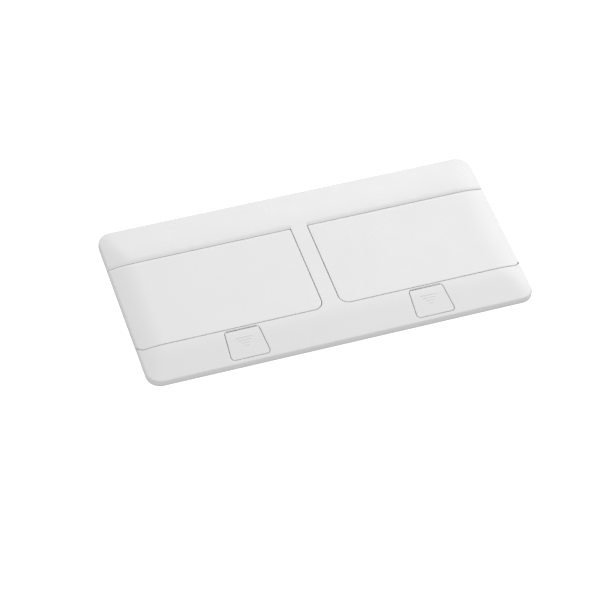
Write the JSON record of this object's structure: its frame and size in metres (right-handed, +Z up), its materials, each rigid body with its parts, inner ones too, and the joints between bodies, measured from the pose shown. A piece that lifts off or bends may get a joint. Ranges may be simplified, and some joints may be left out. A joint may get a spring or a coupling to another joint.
{
  "type": "pop-up desk power unit",
  "caption": "Flush desk power unit: hinged lids in a flat cover plate carry socket pods that swing up out of a back box when a push key is pressed.",
  "frame": {"origin": "centre of the desk opening, on the desk surface that the flange rests on", "axes": "+X along the length to the right, +Y from the push keys towards the lid hinges, +Z up out of the desk"},
  "size_m": [0.2592, 0.122, 0.0574],
  "materials": {
    "cover_plastic": "white moulded plastic, fine satin surface",
    "key_plastic": "white moulded plastic, same as the cover",
    "module_plastic": "white socket plastic",
    "pod_plastic": "dark grey moulded plastic",
    "chassis_plastic": "dark grey glass-filled plastic",
    "box_plastic": "dark grey moulded plastic",
    "base_plastic": "dark socket base",
    "shutter_plastic": "light grey acetal",
    "gear_plastic": "natural acetal",
    "gasket_rubber": "black soft rubber",
    "screw_steel": "zinc plated steel",
    "pin_steel": "ground steel rod",
    "spring_steel": "spring wire",
    "clamp_steel": "zinc plated steel",
    "contact_brass": "bare brass"
  },
  "bodies": {
    "housing": {"cover_frame": "cover_plastic", "flange_gasket": "gasket_rubber", "chassis": "chassis_plastic", "back_box": "box_plastic", "box_screws": "screw_steel", "cover_screws": "screw_steel", "clamp_screws": "screw_steel", "terminal_block": "module_plastic", "terminal_screws": "contact_brass", "earth_stud": "contact_brass", "left_grommet": "gasket_rubber", "right_grommet": "gasket_rubber", "left_hinge_pin": "pin_steel", "right_hinge_pin": "pin_steel", "left_damper": "chassis_plastic", "right_damper": "chassis_plastic", "left_key_pin": "pin_steel", "right_key_pin": "pin_steel", "left_key_springs": "spring_steel", "right_key_springs": "spring_steel"},
    "left_pod": {"left_lid": "cover_plastic", "left_pod_shell": "pod_plastic", "left_gear_sector": "gear_plastic", "left_module_carrier": "module_plastic", "left_lid_screws": "screw_steel", "left_outer_cover": "module_plastic", "left_outer_base": "base_plastic", "left_outer_contacts": "contact_brass", "left_inner_cover": "module_plastic", "left_inner_base": "base_plastic", "left_inner_contacts": "contact_brass"},
    "left_damper_pinion": {"left_pinion": "gear_plastic"},
    "left_push_key": {"left_key": "key_plastic"},
    "left_latch_slide": {"left_latch": "gear_plastic"},
    "left_outer_shutter_plate": {"left_outer_shutter": "shutter_plastic"},
    "left_inner_shutter_plate": {"left_inner_shutter": "shutter_plastic"},
    "left_desk_clamp": {"left_clamp": "clamp_steel"},
    "right_pod": {"right_lid": "cover_plastic", "right_pod_shell": "pod_plastic", "right_gear_sector": "gear_plastic", "right_module_carrier": "module_plastic", "right_lid_screws": "screw_steel", "right_outer_cover": "module_plastic", "right_outer_base": "base_plastic", "right_outer_contacts": "contact_brass", "right_inner_cover": "module_plastic", "right_inner_base": "base_plastic", "right_inner_contacts": "contact_brass"},
    "right_damper_pinion": {"right_pinion": "gear_plastic"},
    "right_push_key": {"right_key": "key_plastic"},
    "right_latch_slide": {"right_latch": "gear_plastic"},
    "right_outer_shutter_plate": {"right_outer_shutter": "shutter_plastic"},
    "right_inner_shutter_plate": {"right_inner_shutter": "shutter_plastic"},
    "right_desk_clamp": {"right_clamp": "clamp_steel"}
  },
  "joints": [
    {"name": "left_pod_hinge", "type": "hinge", "parent": "housing", "child": "left_pod", "pos_m": [-0.0584, 0.0295, 0.0025], "axis": [-1, 0, 0], "range_deg": [0, 54]},
    {"name": "right_pod_hinge", "type": "hinge", "parent": "housing", "child": "right_pod", "pos_m": [0.0584, 0.0295, 0.0025], "axis": [-1, 0, 0], "range_deg": [0, 54]},
    {"name": "left_damper_turn", "type": "hinge", "parent": "housing", "child": "left_damper_pinion", "pos_m": [-0.0087, 0.02205, -0.02532], "axis": [-1, 0, 0], "range_deg": [-271, 0]},
    {"name": "right_damper_turn", "type": "hinge", "parent": "housing", "child": "right_damper_pinion", "pos_m": [0.0087, 0.02205, -0.02532], "axis": [-1, 0, 0], "range_deg": [-271, 0]},
    {"name": "left_key_press", "type": "hinge", "parent": "housing", "child": "left_push_key", "pos_m": [-0.0584, -0.056, 0.003], "axis": [-1, 0, 0], "range_deg": [0, 6], "stiffness_Nm_per_rad": 0.15, "springref_deg": -2.86, "deforming": ["left_key_springs"]},
    {"name": "right_key_press", "type": "hinge", "parent": "housing", "child": "right_push_key", "pos_m": [0.0584, -0.056, 0.003], "axis": [-1, 0, 0], "range_deg": [0, 6], "stiffness_Nm_per_rad": 0.15, "springref_deg": -2.86, "deforming": ["right_key_springs"]},
    {"name": "left_latch_draw", "type": "slide", "parent": "housing", "child": "left_latch_slide", "axis": [0, -1, 0], "range_m": [0, 0.0021]},
    {"name": "right_latch_draw", "type": "slide", "parent": "housing", "child": "right_latch_slide", "axis": [0, -1, 0], "range_m": [0, 0.0021]},
    {"name": "left_outer_shutter_open", "type": "slide", "parent": "left_pod", "child": "left_outer_shutter_plate", "axis": [-1, 0, 0], "range_m": [0, 0.0056], "stiffness_N_per_m": 40, "springref_m": -0.002},
    {"name": "left_inner_shutter_open", "type": "slide", "parent": "left_pod", "child": "left_inner_shutter_plate", "axis": [-1, 0, 0], "range_m": [0, 0.0056], "stiffness_N_per_m": 40, "springref_m": -0.002},
    {"name": "right_outer_shutter_open", "type": "slide", "parent": "right_pod", "child": "right_outer_shutter_plate", "axis": [1, 0, 0], "range_m": [0, 0.0056], "stiffness_N_per_m": 40, "springref_m": -0.002},
    {"name": "right_inner_shutter_open", "type": "slide", "parent": "right_pod", "child": "right_inner_shutter_plate", "axis": [1, 0, 0], "range_m": [0, 0.0056], "stiffness_N_per_m": 40, "springref_m": -0.002},
    {"name": "left_clamp_travel", "type": "slide", "parent": "housing", "child": "left_desk_clamp", "axis": [0, 0, 1], "range_m": [-0.015, 0.008]},
    {"name": "right_clamp_travel", "type": "slide", "parent": "housing", "child": "right_desk_clamp", "axis": [0, 0, 1], "range_m": [-0.015, 0.008]}
  ],
  "couplings": [
    {"joint": "left_damper_turn", "follows": "left_pod_hinge", "ratio": -5},
    {"joint": "right_damper_turn", "follows": "right_pod_hinge", "ratio": -5},
    {"joint": "left_latch_draw", "follows": "left_key_press", "m_per_rad": 0.0192},
    {"joint": "right_latch_draw", "follows": "right_key_press", "m_per_rad": 0.0192}
  ]
}
